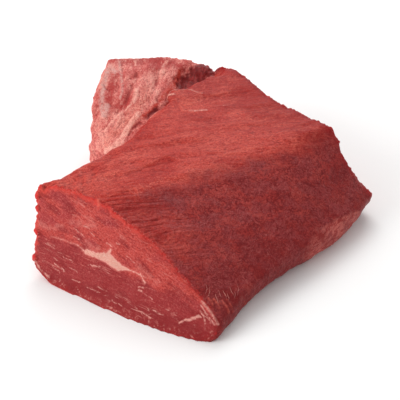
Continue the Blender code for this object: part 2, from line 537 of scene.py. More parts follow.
near_rim, far_rim = bell(near_cut, RIM_WIDTH), bell(far_cut, FAR_RIM_WIDTH)
bead = knobs(places / BEAD_SIZE + wander * 0.15) * ramp(ripples(places / 7 + 11), -0.9, 0.3)
side = ramp(y, 25, 45) * ramp(-x, 50, 60)
near_beads = bead * (BEAD_HEIGHT + SIDE_BEADS * side) + ripples(places / 9 + 3) * RIM_WAVE - RIM_SINK
far_beads = ripples(places / 1.9) + ripples(places / 4.5) * 0.8
beads = near_beads * near_rim + far_rim * far_beads * FAR_BEADS
print_range("beads", beads)

# %% Knobs of loose meat
# Each knob on the near cut's left edge and upper corner: its middle and its radius, in millimetres.
KNOBS = (
    ((-81, 57, 54.5), 2.2), ((-84.6, 57.5, 50.3), 3.2), ((-89.7, 54.5, 43.3), 2.7), ((-91.5, 53, 38.5), 1.7),
    ((-97.3, 50.6, 29.5), 3.2), ((-101.9, 49, 18.1), 1.6), ((-104.5, 47.5, 13.3), 2.8), ((-94, 52, 34), 1.4),
    ((-80.8, 52.5, 56.5), 1.5), ((-78.6, 49.2, 57.6), 1.3), ((-76.8, 46.5, 58.2), 1.5),
    ((-74.6, 43, 58.6), 1.3), ((-86, 56.5, 47), 1.4),
)
# A knob with a smaller radius than this also stands lower.
KNOB_HEIGHT, FULL_RADIUS = 1.7, 2.6

knob = np.zeros(len(places))
for middle, radius in KNOBS:
    knob = np.maximum(knob, np.sqrt(dome(places, middle, radius)) * min(1.0, radius / FULL_RADIUS))
report(0.3, beads=beads, knob=knob)

# %% The whole relief
CUT_GRIT, CUT_WAVES, POCKET_FOLDS = 0.10, 0.45, 0.7

grit = ripples(places / 1.7) * CUT_GRIT + ripples(places / 11 + 21) * CUT_WAVES
cut_face = np.maximum(ramp(near_cut, 0, 3), ramp(far_cut, 0, 3))
pocket = ramp(x, 70, 78) * ramp(y, 36, 40) * ramp(behind_crevice, -1, 1) * ramp(-y, -64, -58)
relief = (
    slab_relief * slab + heel_relief * heel * outside_cuts + grit * cut_face
    + beads + knob * KNOB_HEIGHT + pocket * ripples(places / 3.2) * POCKET_FOLDS
)
print_range("whole relief", relief)

# %% [markdown]
# Silverskin, seams of fat and torn membranes follow their own lines over the heel and the slab. A painter
# would brush them on by hand. Here each is a line through a few places, and every point measures how far
# it is from the edge of the nearest one. That distance lifts the thin ones a little, and the material
# later turns it into ragged bands. Other lines mark painted light: highlights on wet ridges and along
# the crease, a red glow beside the crevice, and shade in the pocket and the folds.

# %% Lines that a brush would follow
UNDER_FLAP = (34.6, 54, 52.5), (41.2, 53.4, 53.8), (46, 52.3, 54.3)
LEFT_OF_FLAP = (28.2, 55.9, 50.8), (20.8, 56.9, 49), (14.9, 56.2, 47)
# Each line: half its width and then the places it goes through, in millimetres.
LINES = {
    "silverskin": (
        (1.8, (57, 107, 68.6), (53, 98.6, 67.7)),
        (1.8, (52.7, 105, 68.3), (43.7, 101, 66), (37.4, 98, 63), (28.9, 92.5, 60.3), (23.6, 89.4, 57),
         (19.2, 85, 53.7)),
        (2.4, (17.5, 81.8, 53), (24.9, 84.7, 56.2)),
        (0.8, (65.6, 104.5, 69.6), (54, 93.6, 67), (46.5, 86.7, 64.3), (40, 81.8, 62), (35, 80, 59.9)),
    ),
    "pale_fat": (
        (0.9, (73, 94.5, 69.4), (69, 90.5, 68.9)),
        (1.3, (88.4, 74.7, 68.7), (82, 73.8, 66.7), (75.8, 70.3, 66.3)),
        (1.8, (48.4, 74.7, 63), (43.7, 71.2, 61.2), (37.6, 69.5, 58.8)),
        (0.6, (37.6, 69.5, 58.8), (29.2, 70.8, 54.6), (18.6, 73, 52), (12.7, 73.4, 48.9), (8.4, 74, 46.5)),
        (2.3, (31.9, 60.5, 54.2), (26.4, 60.2, 52), (20.2, 60.2, 50), (13.5, 58.8, 47.7), (6.7, 57.4, 45.8)),
        (3.0, (6.7, 57.4, 45.8), (-0.2, 57.8, 43.2), (-4.3, 61.2, 40.5)),
        (1.1, (49.5, 47, 63.5), (52.5, 46.5, 65), (54, 43, 66.5)),
    ),
    "peach": (
        (5.0, (52, 67, 61), (44, 65, 58.4), (34, 64, 56), (22, 65, 51), (10, 66, 47), (0, 66, 42)),
    ),
    "red_patches": (
        (4.0, (66, 104, 68.8), (79.6, 89.7, 68.8), (85.8, 81.5, 68.6), (74.9, 77, 66.8)),
        (3.0, (50, 97, 66), (38, 92, 62), (30, 86, 58)), (2.6, (36, 76, 58), (27, 79, 56), (18, 79, 52)),
        (4.5, (87, 72, 67.5), (89, 66, 66.5)),
    ),
    "threads": (
        (0.8, (51, 46, 64), (55, 49, 65), (58.3, 49.5, 65), (60, 46.6, 66), (65, 41, 66.3),
         (65.5, 34.5, 67.3)),
        (0.5, (65.5, 34.5, 67.3), (65.3, 30, 67.5), (66, 25.3, 67.5)),
        (0.8, (42.6, 20.8, 65.8), (45.6, 16.7, 65.8), (51.5, 10.9, 65.7)),
        (0.6, (58.6, 9.5, 66), (66.6, 0.6, 66)),
        (0.8, (-83, -78.7, 21.9), (-84, -83.4, 19.9), (-85, -88.7, 16.3), (-86.3, -93.4, 12.8)),
        (0.4, (-87, -79.7, 18), (-87.6, -83.4, 15.5), (-89, -85.3, 11.6), (-91.6, -87, 8)),
        (0.3, (-26.7, -97.6, 16), (-24, -98.3, 14.2)),
        (0.6, (-104.6, 47.7, 16), (-105.8, 45.3, 11.3), (-106.6, 39.5, 7), (-107.3, 31.8, 5)),
    ),
    # Painted highlights on wet ridges, and pale strips of membrane down the front corner.
    "glints": (
        (0.5, (-39.4, 15.9, 60.6), (-29.9, 11, 61.3), (-21, 7.2, 61.9), (-11.7, 3.7, 63.1)),
        (0.6, (-11, 4, 62.5), (-9, -2, 62), (-8, -7, 62)), (0.8, (-71.6, 14.7, 56.8), (-74.8, 11.3, 55.2)),
        (0.4, (-49, 3, 60), (-50, -2, 59.5), (-54, -6, 58)),
        (0.3, (-53, 3, 59), (-54, -3, 58.5), (-58, -7, 57)), (0.4, (-45, 0, 60), (-47, -6, 59.5)),
        (0.4, (-61.2, 42.5, 59), (-67.6, 38, 58.8)), (0.8, (43.8, 29, 65.7), (40, 24.5, 65.8)),
        (0.8, (47.5, 40.1, 65.5), (49, 37, 65.8)), (0.6, (46.6, 28.3, 65.8), (51, 25, 66)),
        (0.6, (53.4, 29.9, 66.8), (57, 24, 67)), (0.4, (70, 37, 68), (84, 36.5, 68.5), (96, 36, 68.4)),
        (0.5, (46, 46, 62), (33, 42.3, 62.2), (22, 41.5, 62)),
        (0.5, (-78, -80, 22.5), (-79.3, -84.2, 20.5), (-82.7, -87.6, 16)),
        (0.6, (-76, -83, 21.4), (-77.3, -87.2, 19.2), (-79.7, -90.6, 15)),
        (0.4, (-74, -84, 21.4), (-75, -88.5, 19)),
        (0.6, (-72.9, -87.4, 19.6), (-73.5, -91, 17.6), (-74.5, -94, 13.8)),
        (0.4, (-69.5, -88.5, 19.6), (-70, -92, 16.6), (-71, -94.5, 13)),
        (1.0, (-82, 55, 55), (-80, 51, 57.2), (-76, 48, 58), (-73.5, 45, 58.6)),
        (0.5, (-57.6, -94, 11.6), (-55, -94, 7.4)), (0.6, (69, 20, 66.5), (82, 10, 66.5)),
    ),
    # Painted highlights: a band along the crease and pale specks on the flap.
    "crease_and_flap_highlights": (
        (1.6, (-50, -1, 59.8), (-31, -11.5, 60.2), (-19.7, -20, 60.5), (-8, -28.6, 60.4), (6.8, -39.5, 59.7)),
        (3.5, (59, 43, 66.5), (54, 33, 66.5), (50, 25, 66), (60, 24, 67)),
    ),
    # Lines where the skin folds in; on the heel they also get painted shade.
    "folds": (
        (0.3, (-54, 42.3, 58.4), (-66.2, 33, 59.2)), (0.3, (-69, 37.7, 58.9), (-74.6, 34.8, 58.4)),
        (0.3, (-51, 34.9, 59.6), (-61.2, 30, 59)), (0.2, (-41, 13, 60), (-28, 9, 61), (-12, -4, 62)),
        (0.5, *UNDER_FLAP), (0.3, *LEFT_OF_FLAP),
        (0.3, (50, 80, 64), (42, 77, 61), (34, 74.5, 57.5), (25, 75, 54.5)),
        (0.3, (62, 84, 67), (55, 79, 65.5), (50, 75, 63.5)), (0.3, (72, 72, 65), (66, 68, 64), (58, 66, 61)),
    ),
    # Painted shade in the pocket and in the hollows under the flap.
    "painted_hollow_shade": (
        (1.5, *UNDER_FLAP), (0.4, *LEFT_OF_FLAP),
        (8.0, (81, 51, 58.5), (92, 50, 58), (99, 49, 62), (105, 45, 66)),
    ),
    # A painted red glow on the heel's wall beside the crevice.
    "red_glow": (
        (1.7, (64.9, 56.6, 60.2), (57.6, 56, 57.8), (49.6, 55, 56), (42.6, 55.3, 55), (32.7, 56.4, 52.7)),
        (1.9, (88, 62, 64.5), (82, 59.4, 61.6), (73.3, 57, 61.3), (66, 56, 60)),
    ),
}
POCKET_FRONT = 37.5


def from_lines(places, lines):
    """Millimetres from the edge of the nearest line, negative inside it."""
    gap = np.full(len(places), 99.0)
    for half_width, *line in lines:
        for start, end in zip(line, line[1:]):
            run = np.array(end, float) - start
            share = np.clip((places - start) @ run / (run @ run), 0, 1)
            nearest = start + share[:, None] * run
            gap = np.minimum(gap, np.linalg.norm(places - nearest, axis=1) - half_width)
    return gap


gaps = {name: from_lines(places, lines) for name, lines in LINES.items()}
gaps["red_glow"] = np.maximum(gaps["red_glow"], -behind_crevice)
gaps["painted_hollow_shade"] = np.maximum(gaps["painted_hollow_shade"], POCKET_FRONT - y)
report(0, **{name: -gap for name, gap in gaps.items()})

# %% Move the skin, and keep it inside the solid's box
FAT_LIFT, FOLD_DEPTH, FOLD_WIDTH = 0.45, 0.7, 1.5

thin_lines = np.minimum.reduce([gaps["pale_fat"], gaps["glints"], gaps["threads"]])
lifted = ramp(thin_lines, 1.0, -0.4) + ramp(gaps["silverskin"], 0.8, -0.8) * 0.6
folded = bell(np.maximum(gaps["folds"], 0), FOLD_WIDTH)
relief = (relief + lifted * FAT_LIFT - folded * FOLD_DEPTH) * ramp(z, 0.2, 3.0)
low, high = (np.array(corner) for corner in cad_bounds)
shaped = np.clip((places + facing * relief[:, None]) * MM, low, high)
write_points(mesh, shaped)
mesh.shade_smooth()
print("shaped box in mm", (shaped.min(axis=0) / MM).round(1), (shaped.max(axis=0) / MM).round(1))

# %% [markdown]
# The materials need these numbers, so they are stored on the mesh as attributes. One more is measured
# from the finished relief: how far a point stands above the mean of the skin round it. With it the
# colour follows the form: painted shade darkens what lies low, and by the heel's peach patch the raised
# wrinkles are painted paler, partly their own creamy colour and partly a painted highlight.

# %% Store the masks on the mesh
STANDING_ROUNDS = 6


def store(mesh, **numbers):
    for name, values in numbers.items():
        layer = mesh.attributes.new(name, "FLOAT", "POINT")
        layer.data.foreach_set("value", values.astype(np.float32))


standing = np.einsum("ij,ij->i", shaped - relaxed(shaped, STANDING_ROUNDS, 0.6), facing) / MM
groove = -np.minimum(open_grooves, rents * 0.3)
store(mesh, near_cut=near_cut, far_cut=far_cut, far_side=-far_cut, far_rim=far_rim, heel=heel, hem=hem)
store(mesh, above_crease=above_crease, dry=dry, fringe=fringe, torn=torn, groove=groove, standing=standing)
store(mesh, bead=np.maximum(bead * near_rim, knob * 1.3), **gaps)
print_range("standing", standing)

# %% [markdown]
# Nobody sees the flat sole, but it holds a fifth of the points. Merging its flat faces leaves them for
# where the relief is.

# %% Fewer faces on the sole
FLAT_BELOW, STRAIGHT_DOWN = 0.01 * MM, -0.999


def is_flat(vertex):
    """Whether a vertex lies inside the sole, where every face looks straight down."""
    return vertex.co.z < FLAT_BELOW and all(face.normal.z < STRAIGHT_DOWN for face in vertex.link_faces)


def thin_out_sole(mesh):
    """Merges the inner faces of the flat sole into a few large ones."""
    work = bmesh.new()
    work.from_mesh(mesh)
    flat = [vertex for vertex in work.verts if is_flat(vertex)]
    bmesh.ops.dissolve_verts(work, verts=flat)
    bmesh.ops.triangulate(work, faces=[f for f in work.faces if len(f.verts) > 4])
    work.to_mesh(mesh)
    work.free()


thin_out_sole(mesh)
mesh.calc_loop_triangles()
print("roast", len(mesh.loop_triangles), "triangles")

# %% [markdown]
# A material here is written as arithmetic. A Wire is one output of a node, and Python's operators on it
# add Math nodes, so that a mask can be written as one would write it on paper. Everything else comes from
# one method, which sets a node's settings first and then feeds its sockets.

# %% The material writer
class Recipe:
    """A material and its node tree."""

    def __init__(self, name):
        self.material = bpy.data.materials.new(name)
        self.material.use_nodes = True
        self.tree = self.material.node_tree
        self.shader = self.tree.nodes["Principled BSDF"]

    def node(self, kind, settings=None, sockets=None, output=0):
        """Adds a node, sets its settings, feeds its sockets and gives one of its outputs."""
        made = self.tree.nodes.new(kind)
        for name, value in (settings or {}).items():
            setattr(made, name, value)
        for key, value in (sockets or {}).items():
            self.feed(made.inputs[key], value)
        return Wire(self, made.outputs[output])

    def feed(self, socket, value):
        if isinstance(value, Wire):
            self.tree.links.new(value.socket, socket)
        else:
            socket.default_value = value

    def finish(self, **sockets):
        for name, value in sockets.items():
            self.feed(self.shader.inputs[name.replace("_", " ")], value)
        return self.material


def maths(operation):
    """A method that puts a wire and what is given with it through a Math node."""
    def method(wire, *others):
        return wire.recipe.node("ShaderNodeMath", {"operation": operation}, dict(enumerate((wire, *others))))
    return method


class Wire:
    """An output of a node, with arithmetic."""

    def __init__(self, recipe, socket):
        self.recipe = recipe
        self.socket = socket

    __add__ = __radd__ = maths("ADD")
    __mul__ = __rmul__ = maths("MULTIPLY")
    __sub__ = maths("SUBTRACT")
    least = maths("MINIMUM")
    most = maths("MAXIMUM")
    size = maths("ABSOLUTE")

    def __rsub__(self, other):
        return (self * -1.0) + other

    def swing(self, width):
        """A noise between 0 and 1, moved so that it swings about zero over that width."""
        return (self - 0.5) * width

    def ramp(self, low, high, top=1.0):
        """0 below low, top above high and smooth in between. With low above high it runs the other way."""
        settings = {"interpolation_type": "SMOOTHSTEP"}
        return self.recipe.node("ShaderNodeMapRange", settings, {0: self, 1: low, 2: high, 3: 0.0, 4: top})


# %% Words for colours, places and noise
class MeatRecipe(Recipe):
    """A recipe with the places, masks and noises that the roast's materials share."""

    def __init__(self, name):
        super().__init__(name)
        object_place = self.node("ShaderNodeTexCoord", output=3)
        self.place = self.vector("SCALE", object_place, Scale=1 / MM)
        self.height = self.node("ShaderNodeSeparateXYZ", None, {0: self.place}, 2)

    def vector(self, operation, *inputs, output=0, **sockets):
        given = {**dict(enumerate(inputs)), **sockets}
        return self.node("ShaderNodeVectorMath", {"operation": operation}, given, output)

    def mask(self, name):
        settings = {"attribute_name": name, "attribute_type": "GEOMETRY"}
        return self.node("ShaderNodeAttribute", settings, output=2)

    def mix(self, first, second, share):
        settings = {"data_type": "RGBA", "blend_type": "MIX"}
        return self.node("ShaderNodeMix", settings, {0: share, 6: colour(first), 7: colour(second)}, 2)

    def layers(self, base, *coats):
        """A base colour under thin coats. Each coat is a colour and its share, and the last lies on top."""
        for coat, share in coats:
            base = self.mix(base, coat, share)
        return base

    def grain_noise(self, place, turn, along, across, shift=0.0, upright=1.0, **look):
        """Noise that is turned to the grain and drawn out along and across it."""
        scale, location = (along, across, across * upright), (shift, shift, shift)
        sockets = {"Vector": place, "Rotation": (0, 0, turn), "Scale": scale, "Location": location}
        turned = self.node("ShaderNodeMapping", {"vector_type": "TEXTURE"}, sockets)
        return self.noise(turned, **look)

    def threads(self, noise, width):
        """Thin lines where a noise crosses its middle: 1 on a line, 0 beside it."""
        return (noise - 0.5).size().ramp(width, 0.0)

    def noise(self, place, size=1.0, detail=3.0, roughness=0.5, distortion=0.0):
        sockets = {"Vector": place, "Scale": 1 / size, "Detail": detail}
        sockets.update({"Roughness": roughness, "Distortion": distortion})
        return self.node("ShaderNodeTexNoise", None, sockets)

    def slab_noise(self, along, across, shift=0.0, lean=0.0, **look):
        return self.grain_noise(self.place, SLAB_GRAIN + lean, along, across, shift, 4.0, **look)

    def heel_noise(self, along, across, shift=0.0, **look):
        return self.grain_noise(self.place, HEEL_GRAIN, along, across, shift, **look)

    def bump(self, height, depth):
        """A Bump of that many metres from a height between 0 and 1."""
        return self.node("ShaderNodeBump", None, {"Height": height, "Distance": depth})


def colour(value):
    return (*value, 1.0) if isinstance(value, tuple) and len(value) == 3 else value


print("material writer ready")

# %% [markdown]
# The near cut is nearly flat, so its marbling can be drawn on it like a map: one number along the foot
# and one up the face. Each streak of fat is a tapered stroke between two places. The distance to the
# nearest stroke, shaken by a little noise, becomes fat where it falls below zero.

# %% The map of the near cut
CUT_MIDDLE = (-92.6, -11.3, 23.4)
CUT_ALONG = (-0.125, 0.992, 0.0)
CUT_UP = (0.499, 0.063, 0.864)
# Each stroke: where it starts and ends, as (along, up) in millimetres, and its half width at both.
SEAM = (
    ((50, 7.4), (29, 7.9), -0.3, 0), ((29, 7.9), (22.5, 5.6), -0.1, 0.3), ((20.5, 5.6), (13, 5.6), 1.7, 1.8),
    ((13, 5.6), (4, 6.4), 1.8, 3.4), ((6, 7), (3.6, 12.4), 1.6, 0.5), ((4, 6), (-5, 3.0), 3.2, 2.5),
    ((-5, 3.0), (-11, 3.5), 2.0, 0.9), ((-11, 3.5), (-18, 3.4), 0.6, 0.1), ((-18, 3.4), (-26, 2.4), 0.2, 0.0),
    ((-22, 3.4), (-26.5, -1.2), 0.3, 0.3),
)
FLECKS = (
    ((34.5, 17.9), (29.0, 16.2), 0.3, 0.35), ((28.2, 16.6), (25.2, 14.8), 0.3, 0.2),
    ((27.0, 21.8), (23.7, 20.7), 0.35, 0.2), ((8.3, 15.8), (3.4, 14.9), 0.4, 0.25),
    ((0.3, 17.8), (-1.8, 17.8), 0.35, 0.35), ((37.0, -3.6), (30.5, -4.5), 0.25, 0.25),
    ((17.7, -3.1), (8.4, -0.9), 0.3, 0.45), ((43.0, -10.2), (37.3, -12.1), 0.45, 0.4),
    ((37.5, -11.0), (34.3, -12.9), 0.3, 0.5), ((14.7, -17.6), (4.2, -18.0), 0.2, 0.3),
    ((-22.6, -5.0), (-26.4, -4.3), 0.45, 0.35), ((-23.7, -7.3), (-25.9, -6.8), 0.5, 0.5),
    ((-37.2, -16.7), (-44.2, -17.7), 0.4, 0.4), ((-56.9, -18.7), (-63.0, -14.2), 0.4, 0.8),
    ((-63.0, -14.2), (-69.3, -10.4), 0.7, 1.1), ((-67.8, -3.2), (-80.5, -11.5), 0.5, 0.4),
    ((-69.3, -7.3), (-77.4, -10.6), 0.4, 0.4), ((27, -15.8), (20.6, -16.2), 0.25, 0.35),
    ((-23, -6.8), (-35, -10), 0.1, 0.25), ((-27, -20.6), (-37, -21.8), 0.3, 0.4),
    ((6, -14.8), (0, -15.4), 0.25, 0.2), ((33, 12.5), (29, 11.5), 0.2, 0.3),
    ((46, -6), (41, -6.5), 0.25, 0.2), ((44, -12), (38, -15), 0.2, 0.3), ((32, -9.5), (24, -10.5), 0.1, 0.15),
    ((-6, -20), (-14, -21.5), 0.2, 0.3), ((-40, -12), (-48, -13.5), 0.15, 0.25),
    ((22, 19), (15, 16.5), 0.1, 0.2), ((-8, 12), (-16, 9.5), 0.1, 0.2),
)
HAZE = (
    ((62, 14), (52, 12.5), 1.6, 1.2), ((52, 12.5), (44, 17), 1.2, 0.8), ((38, 21), (20, 24), 0.8, 1.2),
    ((22, 12), (12, 10), 1.0, 0.6), ((-18, 8), (-34, 2), 0.8, 0.5),
)


def cut_map(recipe):
    """Millimetres along the near cut and up it, and both as one flat place."""
    offset = recipe.vector("SUBTRACT", recipe.place, CUT_MIDDLE)
    along = recipe.vector("DOT_PRODUCT", offset, CUT_ALONG, output=1)
    up = recipe.vector("DOT_PRODUCT", offset, CUT_UP, output=1)
    return along, up, recipe.node("ShaderNodeCombineXYZ", None, {0: along, 1: up})


def stroke(recipe, spot, start, end, start_width, end_width):
    """Millimetres outside a tapered stroke, negative inside it."""
    run = Vector((end[0] - start[0], end[1] - start[1], 0.0))
    offset = recipe.vector("SUBTRACT", spot, (*start, 0.0))
    share = recipe.vector("DOT_PRODUCT", offset, tuple(run / run.length_squared), output=1)
    share = share.most(0.0).least(1.0)
    nearest = recipe.vector("SCALE", tuple(run), Scale=share)
    gap = recipe.vector("DISTANCE", offset, nearest, output=1)
    return gap - share * (end_width - start_width) - start_width


def strokes(recipe, spot, rows):
    distance = None
    for row in rows:
        one = stroke(recipe, spot, *row)
        distance = one if distance is None else distance.least(one)
    return distance


print(len(SEAM) + len(FLECKS) + len(HAZE), "strokes of fat")

# %% [markdown]
# The flesh itself: red muscle, a little browner and greyer on the sloping front, where a thin skin covers
# it, and paler on the heel. The near cut shows two muscles, the lower one darker. Every colour is laid
# on as a thin coat with a share. A ramp says where on a noise, or at how many millimetres of a
# distance, the coat starts, where it is full and how strong it then is.

# %% Colours of the meat
TOP_RED = (0.46, 0.039, 0.029)
TOP_DEEP = (0.38, 0.021, 0.016)
TOP_PALE = (0.67, 0.120, 0.083)
TOP_PINK = (0.56, 0.074, 0.054)
TOP_DARK = (0.22, 0.011, 0.010)
FRONT_RED = (0.345, 0.032, 0.028)
FRONT_GREY = (0.42, 0.105, 0.092)
FRONT_DARK = (0.155, 0.008, 0.010)
FRONT_PURPLE = (0.28, 0.040, 0.042)
HEM_ORANGE = (0.60, 0.122, 0.100)
HEM_PALE = (0.64, 0.22, 0.175)
CUT_UPPER = (0.49, 0.054, 0.042)
CUT_MAUVE = (0.38, 0.040, 0.040)
CUT_LOWER = (0.30, 0.025, 0.026)
CUT_PINK = (0.58, 0.150, 0.125)
CUT_DEEP = (0.22, 0.011, 0.013)
RIM_RED = (0.56, 0.016, 0.014)
# Painted glow of light through the thin rim of the cut.
RIM_GLOW = (0.64, 0.058, 0.043)
FAT = (0.64, 0.29, 0.23)
FAT_WHITE = (0.72, 0.42, 0.34)
FLECK = (0.70, 0.30, 0.25)
HEEL_RED = (0.60, 0.125, 0.108)
HEEL_DEEP = (0.38, 0.026, 0.024)
HEEL_PINK = (0.76, 0.25, 0.21)
HEEL_PALE = (0.86, 0.41, 0.33)
PEACH_PINK = (0.72, 0.215, 0.165)
SKIN_WHITE = (0.64, 0.34, 0.30)
# Painted shade in the pocket: nearly black maroon, with redder shaded flesh.
POCKET_SHADE = (0.12, 0.007, 0.009)
POCKET_SHADED_RED = (0.32, 0.022, 0.023)
# Painted glow beside the crevice.
GLOW_RED = (0.52, 0.035, 0.018)
EDGE_RED = (0.27, 0.005, 0.007)

# %% Noises that the colours share
def meat_noises(r):
    return SimpleNamespace(
        grain=r.slab_noise(16, 2.2, roughness=0.6),
        fine=r.slab_noise(4.5, 0.8, detail=2, roughness=0.6),
        thread=r.slab_noise(14, 2.0, 50, 0.12, roughness=0.6),
        lobe=r.heel_noise(12, 3.4, detail=4, roughness=0.65),
        wrinkle=r.heel_noise(7, 1.8, 60, roughness=0.6, distortion=0.5),
        cloud=r.noise(r.place, 16),
        mottle=r.noise(r.place, 1.5, roughness=0.65, distortion=0.8),
        shake=r.noise(r.place, 1.6, roughness=0.7),
        wear=r.grain_noise(r.place, 0.0, 3.2, 3.2, 10, roughness=0.7),
        tiny=r.noise(r.place, 0.8, detail=2),
    )


# %% The slab's top
def top_colour(r, n):
    far, stored_dry = r.mask("far_side"), r.mask("dry")
    patches = r.slab_noise(22, 12, 70, detail=2)
    broad = r.slab_noise(45, 30, 20, detail=1)
    fold = r.slab_noise(15, 6, 44, 0.25, detail=2, distortion=0.5)
    lines = n.grain * 0.2 + n.fine * 0.45 + n.mottle * 0.35
    speckle = n.mottle * 0.6 + n.shake * 0.4
    dry = broad.ramp(0.40, 0.58, 0.4) + stored_dry * 0.55
    deep = (far + patches.swing(40.0)).ramp(49.0, 15.0)
    glow = (r.mask("crease_and_flap_highlights") + n.cloud.swing(8.0) + n.fine.swing(30.0)).ramp(2.0, -2.0)
    return r.layers(
        r.mix(TOP_DEEP, TOP_RED, (patches * 0.5 + broad * 0.5).ramp(0.42, 0.55).most(stored_dry)),
        (TOP_PINK, dry * patches.ramp(0.36, 0.50, 0.8)),
        (TOP_DEEP, deep * 0.95),
        # Painted highlight and shade on the two sides of folds that a noise draws.
        (TOP_PALE, fold.ramp(0.50, 0.55) * fold.ramp(0.61, 0.56) * dry),
        (TOP_DARK, fold.ramp(0.44, 0.49) * fold.ramp(0.54, 0.50) * dry * 0.5),
        (TOP_DARK, lines.ramp(0.485, 0.38, 0.80)),
        (TOP_PALE, lines.ramp(0.505, 0.60) * (dry * 0.35 + 0.25 - deep * 0.1)),
        (TOP_PALE, r.threads(n.thread, 0.030) * r.mask("torn") * 0.5),
        (TOP_DARK, speckle.ramp(0.48, 0.38, 0.45)),
        (TOP_PALE, speckle.ramp(0.52, 0.62) * (0.34 - deep * 0.12)),
        # Painted highlights along the crease and on the flap.
        (TOP_PALE, glow * (n.shake.ramp(0.44, 0.56, 0.7) + 0.1)),
        (TOP_DARK, (far + n.mottle.swing(5.0)).ramp(5.5, 0.5, 0.6) + deep * 0.18),
    )


# %% The sloping front
def crackle(r, size, shift, width):
    """A web of thin curly lines with gaps of about that size."""
    return r.threads(r.grain_noise(r.place, 0.0, size, size, shift, detail=1, distortion=1.4), width)


def front_colour(r, n):
    blotch = r.slab_noise(13, 9, 35, roughness=0.6)
    spots = r.noise(r.place, 4.6, roughness=0.55, distortion=0.8)
    broad = r.slab_noise(32, 24, 5, detail=1)
    flesh = spots * 0.50 + n.mottle * 0.10 + n.fine * 0.15 + blotch * 0.25
    return r.layers(
        r.mix(FRONT_DARK, FRONT_RED, flesh.ramp(0.33, 0.54)),
        (FRONT_DARK, r.height.ramp(50.0, 12.0, 0.58)),
        (FRONT_PURPLE, blotch.ramp(0.54, 0.43, 0.75)),
        (FRONT_DARK, broad.ramp(0.48, 0.38, 0.30)),
        (HEM_ORANGE, broad.ramp(0.48, 0.62) * blotch.ramp(0.44, 0.60, 0.16)),
        (FRONT_GREY, crackle(r, 4.6, 30, 0.055) * (n.cloud * 0.6 + blotch * 0.4).ramp(0.60, 0.44, 0.4)),
        (FRONT_DARK, crackle(r, 4.4, 90, 0.060) * 0.9),
        (FRONT_DARK, crackle(r, 3.8, 15, 0.060) * n.cloud.ramp(0.34, 0.48, 0.8)),
    )


def hem_colour(r, n):
    """The pale band along the front's foot, with red scraps in it."""
    scraps = r.grain_noise(r.place, 0.1, 7.0, 1.8, 25, roughness=0.6)
    foot = (r.height + n.shake.swing(8.0)).ramp(10.0, 3.0)
    band = r.mix(HEM_ORANGE, HEM_PALE, scraps.ramp(0.44, 0.58) * (foot * 0.7 + 0.25))
    return r.mix(band, FRONT_RED, scraps.ramp(0.53, 0.43, 0.9))


# %% The slab as a whole
def slab_colour(r, n):
    upper = (r.mask("above_crease") + n.cloud.swing(30.0)).ramp(-14.0, 4.0)
    fringe = (r.mask("fringe") + n.fine.swing(1.6) + n.cloud.swing(1.2)).ramp(0.15, 1.0, 0.6)
    edge = (r.mask("far_side") + n.cloud.swing(10.0) + n.mottle.swing(6.0)).ramp(8.0, 1.5)
    hem = r.mask("hem") + n.cloud.swing(1.8) + n.wear.swing(1.2) + n.shake.swing(1.0)
    return r.layers(
        r.mix(front_colour(r, n), top_colour(r, n), upper.most(fringe)),
        # Painted shade in the open grooves and rents of the grain.
        (TOP_DARK, r.mask("groove").ramp(0.15, 0.60, 0.6)),
        (EDGE_RED, edge * 0.9),
        (hem_colour(r, n), hem.ramp(0.20, 1.45, 0.8)),
    )


# %% The heel
def heel_colour(r, n):
    peach = r.mask("peach")
    peach_patch = peach + n.lobe.swing(18.0) + n.shake.swing(5.0)
    red_patch = r.mask("red_patches") + n.cloud.swing(14.0) + n.shake.swing(9.0)
    scratch = r.heel_noise(8.0, 1.3, 33, roughness=0.65)
    flesh = n.lobe * 0.50 + n.cloud * 0.30 + n.mottle * 0.2
    return r.layers(
        r.mix(HEEL_RED, HEEL_PINK, flesh.ramp(0.42, 0.57, 0.85)),
        (PEACH_PINK, peach_patch.ramp(3.0, -4.0, 0.75)),
        (HEEL_DEEP, red_patch.ramp(3.5, -2.5, 0.8)),
        (HEEL_DEEP, n.mottle.ramp(0.47, 0.37, 0.5)),
        (HEEL_DEEP, scratch.ramp(0.45, 0.34, 0.6)),
        (HEEL_PALE, scratch.ramp(0.58, 0.70, 0.4)),
        (HEEL_PALE, r.threads(n.wrinkle, 0.050) * n.cloud.ramp(0.38, 0.58, 0.6)),
        (HEEL_PALE, n.lobe.ramp(0.56, 0.70, 0.5)),
        (HEEL_DEEP, n.tiny.ramp(0.48, 0.36, 0.3)),
        (HEEL_DEEP, n.cloud.ramp(0.47, 0.36, 0.12)),
        (HEEL_PALE, n.cloud.ramp(0.52, 0.62, 0.2)),
        # Raised wrinkles by the peach patch are painted paler: partly their creamy colour, partly a painted
        # highlight.
        (HEEL_PALE, r.mask("standing").ramp(0.10, 0.45) * peach.ramp(12.0, -2.0, 0.6)),
        # Painted shade in the heel's folds and under the flap.
        (HEEL_DEEP, (r.mask("folds") + n.shake.swing(1.5)).ramp(0.9, -0.3, 0.55)),
    )


# %% The flesh of the cuts
CUT_GRAIN, LOWER_GRAIN = 0.27, 0.04
FLECK_BEND = 3.2


def bent(r, spot):
    """A place on the map, moved a little by noise, so that the flecks aren't straight."""
    swing = r.node("ShaderNodeTexNoise", None, {"Vector": spot, "Scale": 0.3}, 1)
    swing = r.vector("SUBTRACT", swing, (0.5, 0.5, 0.5))
    return r.vector("ADD", spot, r.vector("SCALE", swing, Scale=FLECK_BEND))


